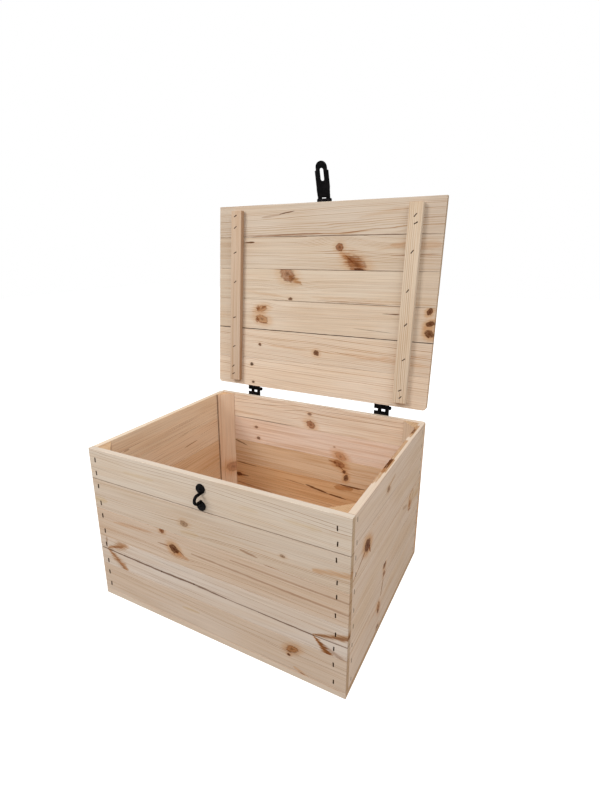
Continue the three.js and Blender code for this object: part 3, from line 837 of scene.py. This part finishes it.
# Millimetres from the left edge, and from the hinge edge towards the front edge.
lidPanel = {
    "seed": 50,
    "space": ((1, 0, 0), tuple(lidForward), tuple(lidStart)),
    "look": {
        "colour": linear(216, 199, 178), "late": linear(220, 192, 164),
        "ringStrength": 0.8, "lineStrength": 0.6,
        "marks": [  # the lid is a little darker down both of its sides
            mark((4, -20), (4, 420), (38, 38), "grey", 0.16, soft=0.6, ragged=0, taper=0),
            mark((496, -20), (496, 420), (38, 38), "brown", 0.14, soft=0.6, ragged=0, taper=0),
        ],
    },
    # From the hinge edge to the front edge the boards get darker: painted light, brighter towards the
    # foot of the open lid.
    "lid_board_1": {
        "colour": linear(233, 215, 195), "spacing": (3.0, 4.4),
        "knots": [
            knot((92, 51), (4.6, 4.2), "black", 1.0, 0.2),
            knot((97, 9), (3.8, 3.2), "black", 1.0, 0.3),
        ],
    },
    "lid_board_2": {
        "colour": linear(224, 205, 184), "ringStrength": 0.95, "spacing": (2.6, 3.8),
        "knots": [
            knot((113, 99.5), (4, 3.6), "dark", 0.95, 0.2),
            knot((256, 92.5), (7, 5.4), "dark", 1.0, 0.5, turn=-10),
        ],
        "marks": [
            mark((0, 133.9), (500, 133.9), (0.8, 0.8), "black", soft=0.5, taper=0),
            mark((135, 100), (235, 96), (4, 3), "orange", 0.45),
            mark((300, 98), (500, 88), (4, 12), "orange", 0.4),
            mark((330, 84), (500, 110), (4, 9), "orange", 0.3),
        ],
    },
    "lid_board_3": {
        "colour": linear(220, 203, 183),
        "knots": [
            knot((116, 181), (14, 7), "gold", 0.72, 0.6, turn=10),
            knot((117, 158), (16, 8.5), "gold", 0.72, 0.6, turn=-14),
            knot((106, 182), (4.5, 5), "red", 0.6, 0.2, turn=20),
            knot((122, 185), (5, 3), "red", 0.6, 0.2, turn=10),
            knot((105, 155), (4.5, 6), "red", 0.7, 0.2, turn=-20),
            knot((489, 194), (5, 7.5), "dark", 1.0, 0.8, turn=-30),
            knot((492, 171), (9, 5), "dark", 1.0, 0.9, turn=20),
            knot((492, 152), (9, 7.5), "dark", 0.95, 0.9, turn=-25),
        ],
        "marks": [
            mark((108, 151), (134, 148), (2.4, 1.8), "red", 0.6, ragged=1.2),
            mark((396, 185), (432, 185), (0.6, 1.6), "dark", 0.85, soft=0.4),
            mark((335, 152), (420, 148), (0.8, 0.8), "dark", 0.55),
            mark((0, 134.2), (500, 134), (1.3, 1.1), "black", 0.9, soft=0.5, taper=0),
            mark((140, 200.8), (480, 200.8), (1.1, 1.1), "dark", 0.6, soft=0.5),
        ],
    },
    "lid_board_4": {
        "colour": linear(217, 201, 181),
        "knots": [
            knot((178, 258), (20, 13.5), "red", 0.72, 0.5, turn=-28),
            knot((188, 205.5), (5, 3.6), "dark", 0.95, 0.2),
        ],
        "marks": [
            mark((182, 254), (216, 236), (12, 5), "gold", soft=0.9, ragged=1.2),
            mark((140, 267.6), (480, 267.6), (1.1, 1.1), "dark", 0.6, soft=0.5),
            mark((0, 226), (170, 210), (3, 6), "orange", 0.35),
            mark((230, 212), (500, 206), (6, 5), "orange", 0.4),
            mark((250, 205), (410, 203), (1.2, 1.2), "brown", 0.6),
        ],
    },
    "lid_board_5": {
        "colour": linear(211, 195, 176), "ringStrength": 0.85,
        "knots": [
            knot((297, 313), (8.5, 8), "red", 0.95, 0.4),
            knot((336, 279), (22, 14.5), "red", 0.5, 0.5, turn=-32),
        ],
        "marks": [
            mark((300, 302), (344, 272), (8, 22), "orange", ragged=1.0, taper=0.3),
            mark((308, 296), (338, 279), (9, 20), "gold", 0.7, soft=0.9, ragged=1.2, taper=0.3),
            mark((309, 299), (330, 281), (1.4, 2.0), "brown", 0.6, ragged=0.8),
            mark((330, 271), (352, 269), (3.4, 3.4), ragged=0.8),
            mark((67, 324), (94, 325), (1.2, 2.4), "dark", 0.9, soft=0.4),
            mark((400, 296), (500, 300), (1.2, 1.6), "brown", 0.5),
            mark((400, 316), (500, 318), (9, 14), "orange", 0.5),
            mark((350, 300), (440, 322), (2, 4), "orange", 0.3),
        ],
    },
    "lid_board_6": {
        "colour": linear(207, 191, 173),
        "marks": [
            mark((153, 381), (192, 387), (1.4, 1.0), "dark", 0.9, soft=0.4),
            mark((110, 376), (160, 381), (3, 3), "brown", 0.35),
            mark((330, 368), (440, 385), (3, 8), "orange", 0.3),
            mark((30, 338), (260, 340), (2, 3), "brown", 0.5),
            mark((120, 336.2), (500, 336.2), (1.2, 1.2), "dark", 0.7),
        ],
    },
}

# Millimetres from the hinge edge along the batten, and across the lid from its left edge.
lidBattens = {
    "seed": 60,
    "space": (tuple(lidForward), (1, 0, 0), tuple(lidStart)),
    "look": {"spacing": (2.6, 3.6), "ringStrength": 1.0, "wander": 6.0},
    "lid_batten_left": {
        # The dark brown edge colour is painted shade on the batten's side faces, away from the light.
        "colour": linear(202, 178, 155), "edge": linear(160, 118, 84), "ringStrength": 0.7,
    },
    "lid_batten_right": {"colour": linear(216, 197, 174)},
}

# Millimetres from the left end, and back from the front edge.
floorBoards = {
    "seed": 70,
    "space": ((1, 0, 0), (0, 1, 0), (boxLow.x, boxLow.y, boxHigh.z)),
    "look": {"colour": linear(212, 190, 168), "edge": linear(207, 191, 174)},
    "base_board_1": {},
    "base_board_2": {"knots": [knot((330, 108), (9, 7), "red", 0.8)]},
    "base_board_3": {},
    "base_board_4": {"knots": [knot((140, 290), (6, 5), "dark", 0.85)]},
    "base_board_5": {"knots": [knot((420, 370), (8, 6), "brown", 0.8)]},
}

# Millimetres up from the floor, and back from the front corner.
cornerPosts = {
    "seed": 80,
    "space": ((0, 0, 1), (0, 1, 0), (0, boxLow.y, 0)),
    "look": {
        "colour": linear(218, 196, 172), "ringStrength": 0.9,
        "spacing": (2.4, 3.6), "pithAway": (25, 60),
        "marks": [mark((0, 371), (310, 371), (1.5, 1.5), "dark", 0.7, taper=0)],
    },
    "corner_post_front_left": {},
    "corner_post_front_right": {"colour": linear(216, 190, 164)},
    "corner_post_rear_right": {},
    "corner_post_rear_left": {
        # Paler than the other posts: painted light on the inside of the box.
        "colour": linear(240, 211, 184),
        "knots": [knot((112, 394), (13, 13), "red", 0.5, 0.6, turn=35)],
    },
}

# Every staple is a point in millimetres and a lean in degrees, on the face it was driven into.
crownStaples = {
    "crown": 6.2,
    "wire": 0.6,  # half the thickness of the wire
    "proud": 0.16,
    "bendRadius": 0.7,
    "leg": 0.9,  # the straight part below each bend
    "steps": 3,  # points on each bend
    "sides": 6,
    "dark": linear(34, 22, 16),
    "rubbed": linear(62, 44, 32),
    # Half widths of the dark mark round each staple.
    "bruise": {"front": 1.25, "right": 1.1, "left": 1.25, "back": 1.25, "lid": 1.15},
    "bruiseNearLeft": 1.9,  # the front's left row
    "front": [
        (14, 287, 2), (13, 261, -3), (14, 235, 4), (15, 201, -2), (15, 175, 0), (16, 143, 3),
        (15, 114, -4), (15, 78, 2), (14, 52, -2), (15, 26, 3), (479, 287, -2), (480, 263, 3),
        (479, 237, -3), (481, 201, 2), (481, 177, 0), (480, 145, -3), (481, 112, 2), (479, 85, 2),
        (479, 56, -3), (480, 24, 2),
    ],
    "right": [
        (20, 296, 3), (21, 259, -4), (19, 236, 2), (22, 207, -3), (19, 180, 4), (20, 147, -2),
        (21, 118, 3), (19, 86, -3), (20, 56, 3), (21, 20, -2), (392, 292, 2), (391, 262, -3),
        (393, 233, 4), (392, 204, -2), (390, 176, 3), (392, 146, -4), (391, 115, 2), (392, 85, -3),
        (393, 55, 2), (391, 23, 3),
    ],
    "left": [
        (20, 290, -3), (22, 262, 2), (20, 233, -2), (21, 203, 4), (19, 174, -3), (21, 144, 2),
        (20, 116, -4), (19, 84, 3), (21, 55, -2), (20, 22, 2), (391, 289, 3), (393, 261, -2),
        (391, 231, 3), (392, 204, -4), (390, 173, 2), (392, 146, -3), (393, 113, 2), (391, 86, -2),
        (392, 54, 4), (390, 24, -3),
    ],
    "back": [
        (15, 288, 3), (14, 262, -2), (16, 234, 3), (14, 203, -4), (15, 174, 2), (16, 145, -2),
        (14, 116, 3), (15, 85, -3), (14, 55, 2), (16, 24, -2), (485, 289, -3), (484, 261, 2),
        (486, 233, -2), (485, 204, 3), (484, 175, -3), (486, 144, 2), (485, 115, -2), (484, 86, 3),
        (485, 54, -4), (486, 23, 2),
    ],
    "lid": [
        (50, 380, 58), (50, 356, 52), (50, 302, 62), (51, 238, 55), (50, 158, 70), (50, 91, 62),
        (48, 44, 48), (49, 26, 55), (448, 368, 40), (450, 354, 60), (448, 303, 35), (446, 231, 38),
        (448, 167, 42), (450, 99, 50), (448, 37, 60), (450, 23, 40),
    ],
}


def stapleMarks(wall, depth, side, start=0, flipped=False):
    # The wood round a driven staple is bruised and darker, on the face it was driven into.
    bruises, half = [], crownStaples["crown"] / 2
    for across, up, lean in crownStaples[wall]:
        nearLeft = wall == "front" and across < 100
        broad = crownStaples["bruiseNearLeft"] if nearLeft else crownStaples["bruise"][wall]
        reach = (half * math.sin(math.radians(lean)), half * math.cos(math.radians(lean)))
        near = (across - start - reach[0], up - reach[1])
        far = (across - start + reach[0], up + reach[1])
        if flipped:
            near, far = near[::-1], far[::-1]
        bruises.append(mark(
            near, far, (broad, broad), "black", 1.0,
            soft=0.5, ragged=0.3, taper=0.0, depth=depth, side=side, sunk=True,
        ))
    return bruises


def dressBoards(wall, bruises=()):
    base = lookOf(plainLook, wall["look"])
    across, start = wall["space"][1:]
    for count, name in enumerate([name for name in wall if name in nodes], 1):
        look = {**lookOf(base, wall[name]), "seed": wall["seed"] + count}
        low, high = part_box(name)
        look["middle"] = ((low + high) / 2 - Vector(start)).dot(Vector(across).normalized()) / mm
        reach = (high - low).dot(Vector([abs(part) for part in across])) / mm / 2
        for bruise in bruises:
            ends = bruise["inputs"]
            if abs((ends["From"][1] + ends["To"][1]) / 2 - look["middle"]) < reach:
                look["marks"] = look["marks"] + [bruise]
        dress(name, pineMaterial(name + "_pine", wall["space"], look))


boardDeep = boardThickness / mm
battenTop = shutBox("lid_batten_left")[0].z
battenDeep = (shutLow.z - battenTop) / mm
dressBoards(frontWall, stapleMarks("front", 0, 1))
dressBoards(rightWall, stapleMarks("right", 0, 1))
dressBoards(leftWall, stapleMarks("left", 0, -1))
dressBoards(backWall, stapleMarks("back", -boardDeep, -1, boardDeep))
dressBoards(lidPanel)
dressBoards(lidBattens, stapleMarks("lid", -battenDeep, -1, flipped=True))
dressBoards(floorBoards)
dressBoards(cornerPosts)
print("pine dressed,", len([name for name in nodes if nodes[name].data.materials]), "nodes")


# A crown staple is a round wire that dips into the wood at both ends. Its path is a straight
# crown with quarter turns at its ends, and its skin is the circle round each point of the path.
def stapleSkin(place, across, up, outward, lean):
    crown, wire, bend, leg = (crownStaples[name] * mm for name in ("crown", "wire", "bendRadius", "leg"))
    depth = (crownStaples["proud"] - crownStaples["wire"]) * mm
    angle = math.radians(lean)
    along = np.array(across) * math.sin(angle) + np.array(up) * math.cos(angle)
    outward = np.array(outward)
    quarter = np.linspace(0, math.pi / 2, crownStaples["steps"])
    far = crown / 2 - bend
    run = np.concatenate(([far + bend], far + bend * np.cos(quarter)))
    rise = np.concatenate(([depth - bend - leg], depth - bend + bend * np.sin(quarter)))
    run, rise = np.concatenate((run, -run[::-1])), np.concatenate((rise, rise[::-1]))
    path = np.array(place) + run[:, None] * along + rise[:, None] * outward
    ahead = np.gradient(path, axis=0)
    ahead /= np.linalg.norm(ahead, axis=1)[:, None]
    sideways = np.cross(along, outward)
    lift = np.cross(sideways, ahead)
    circle = np.linspace(0, 2 * math.pi, crownStaples["sides"], endpoint=False)
    ring = sideways * np.cos(circle)[:, None]
    return path[:, None] + wire * (ring[None] + lift[:, None] * np.sin(circle)[None, :, None])


def tubeFaces(rings, sides, first):
    # Quads join ring to ring, and the two ends are closed by one face each.
    ring, side = np.meshgrid(np.arange(rings - 1), np.arange(sides), indexing="ij")
    here, ahead, beside = ring * sides, (ring + 1) * sides, (side + 1) % sides
    quads = np.stack((here + side, here + beside, ahead + beside, ahead + side), -1)
    last = first + (rings - 1) * sides
    ends = [list(range(first + sides - 1, first - 1, -1)), list(range(last, last + sides))]
    return (quads.reshape(-1, 4) + first).tolist() + ends


def newPiece(name, points, faces, material, body):
    mesh = bpy.data.meshes.new(name)
    mesh.from_pydata(points.tolist(), [], faces)
    mesh.validate()
    turned = bmesh.new()
    turned.from_mesh(mesh)
    bmesh.ops.recalc_face_normals(turned, faces=turned.faces)
    turned.to_mesh(mesh)
    turned.free()
    mesh.polygons.foreach_set("use_smooth", [True] * len(mesh.polygons))
    mesh.materials.append(material)
    piece = addObject(name, mesh)
    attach(piece, body)


def stapleMaterial():
    material, tree, shader = newMaterial("staple_wire")
    speckle = noise(tree, scaled(tree, objectMillimetres(tree), (0.9, 0.9, 0.9)), 2.0)
    shade = smoothRange(tree, speckle, 0.35, 0.7)
    linkAll(tree, shader.inputs, {
        "Base Color": mixColour(tree, shade, crownStaples["dark"], crownStaples["rubbed"]),
        "Roughness": addTimes(tree, 0.55, speckle, 0.3),
    })
    shader.inputs["Specular IOR Level"].default_value = 0.0
    return material


def placeStaples(wall, body, across, up, outward, start, material):
    across, up, outward = (Vector(way).normalized() for way in (across, up, outward))
    points, faces, first = [], [], 0
    for sideways, height, lean in crownStaples[wall]:
        place = Vector(start) + across * sideways * mm + up * height * mm
        skin = stapleSkin(place, across, up, outward, lean)
        rings, sides = skin.shape[:2]
        points.append(skin.reshape(-1, 3))
        faces += tubeFaces(rings, sides, first)
        first += rings * sides
    newPiece(f"crown_staples_{wall}", np.concatenate(points), faces, material, body)


battenFace = opened((shutLow.x, shutHigh.y, battenTop))
lidInward = openTurn @ Vector((0, 0, -1))
stapleWire = stapleMaterial()
placeStaples("front", "box", (1, 0, 0), (0, 0, 1), (0, -1, 0), (boxLow.x, boxLow.y, 0), stapleWire)
placeStaples("right", "box", (0, 1, 0), (0, 0, 1), (1, 0, 0), (boxHigh.x, boxLow.y, 0), stapleWire)
placeStaples("left", "box", (0, 1, 0), (0, 0, 1), (-1, 0, 0), (boxLow.x, boxLow.y, 0), stapleWire)
placeStaples("back", "box", (1, 0, 0), (0, 0, 1), (0, 1, 0), (boxLow.x, boxHigh.y, 0), stapleWire)
placeStaples("lid", "lid", (1, 0, 0), lidForward, lidInward, battenFace, stapleWire)
print("crown staples placed")

# Black coated ironmongery: satin, a little uneven, rubbed at its edges.
blackCoat = {
    "deep": linear(7, 6, 7),
    "worn": linear(28, 25, 26),
    "wornShare": 0.55,
    "roughness": (0.4, 0.52),
    "specular": 0.04,
    "grainSize": 0.55,
    "patchScale": 0.12,
    "bump": {"Strength": 0.35, "Distance": 0.05 * mm},
    "nodes": [name for name in nodes if name.startswith(("hinge_", "hasp_", "staple_"))],
}


def blackMaterial(coat):
    material, tree, shader = newMaterial("black_coat")
    place = objectMillimetres(tree)
    fine = noise(tree, scaled(tree, place, (1 / coat["grainSize"],) * 3), 2.0)
    patches = noise(tree, scaled(tree, place, (coat["patchScale"],) * 3), 2.0)
    pointed = addNode(tree, "ShaderNodeNewGeometry").outputs["Pointiness"]
    edge = smoothRange(tree, pointed, 0.53, 0.6, 0.0, coat["wornShare"])
    edge = times(tree, edge, smoothRange(tree, patches, 0.4, 0.65))
    linkAll(tree, shader.inputs, {
        "Base Color": mixColour(tree, edge, coat["deep"], coat["worn"]),
        "Roughness": smoothRange(tree, patches, 0.3, 0.7, *coat["roughness"]),
        "Normal": addNode(tree, "ShaderNodeBump", {"Height": fine, **coat["bump"]}).outputs[0],
    })
    shader.inputs["Specular IOR Level"].default_value = coat["specular"]
    return material


blackFinish = blackMaterial(blackCoat)
for name in blackCoat["nodes"]:
    dress(name, blackFinish)
print("ironmongery dressed,", len(blackCoat["nodes"]), "nodes")

# A plain pale floor and soft studio light.
studio = {
    "floorHalf": 6.0,
    "floorShade": 0.5,
    "floorRoughness": 0.9,
    "floorGlow": 0.84,
    "world": 0.5,
    "key_lamp": {"place": (-1.25, -1.7, 2.0), "size": 1.1, "power": 40},
    "fill_lamp": {"place": (1.8, -1.0, 2.95), "size": 2.2, "power": 45},
    "aim": (0, 0.05, 0.35),
}


def softLamp(name, place, size, power):
    data = bpy.data.lights.new(name, "AREA")
    data.shape, data.size, data.energy = "SQUARE", size, power
    lamp = addObject(name, data)
    lamp.location = place
    lamp.rotation_euler = (Vector(studio["aim"]) - Vector(place)).to_track_quat("-Z", "Y").to_euler()


def seenDirectly(tree):
    # 1 for the camera and for what glossy or clear surfaces show, 0 for the light on the object.
    path = addNode(tree, "ShaderNodeLightPath").outputs
    seen = maths(tree, "MAXIMUM", path["Is Camera Ray"], path["Is Glossy Ray"])
    return maths(tree, "MAXIMUM", seen, path["Is Transmission Ray"])


def makeWorld():
    world = bpy.data.worlds.new("studio_world")
    world.use_nodes = True
    tree = world.node_tree
    background = tree.nodes["Background"]
    background.inputs["Color"].default_value = (1, 1, 1, 1)
    levels = {0: seenDirectly(tree), 2: studio["world"], 3: 1.0}  # white where it is seen directly
    tree.links.new(addNode(tree, "ShaderNodeMix", levels).outputs[0], background.inputs["Strength"])
    bpy.context.scene.world = world


def makeFloor():
    mesh = bpy.data.meshes.new("studio_floor")
    corners = np.array([(-1, -1, 0), (1, -1, 0), (1, 1, 0), (-1, 1, 0)]) * studio["floorHalf"]
    mesh.from_pydata(corners.tolist(), [], [(0, 1, 2, 3)])
    material, tree, shader = newMaterial("pale_floor")
    shader.inputs["Base Color"].default_value = (*[studio["floorShade"]] * 3, 1)
    shader.inputs["Roughness"].default_value = studio["floorRoughness"]
    shader.inputs["Emission Color"].default_value = (1, 1, 1, 1)
    glow = times(tree, seenDirectly(tree), studio["floorGlow"])
    tree.links.new(glow, shader.inputs["Emission Strength"])
    mesh.materials.append(material)
    addObject("studio_floor", mesh)


for name in ("key_lamp", "fill_lamp"):
    softLamp(name, **studio[name])
makeWorld()
makeFloor()
bpy.context.scene.view_settings.view_transform = "Standard"
print("studio lit")
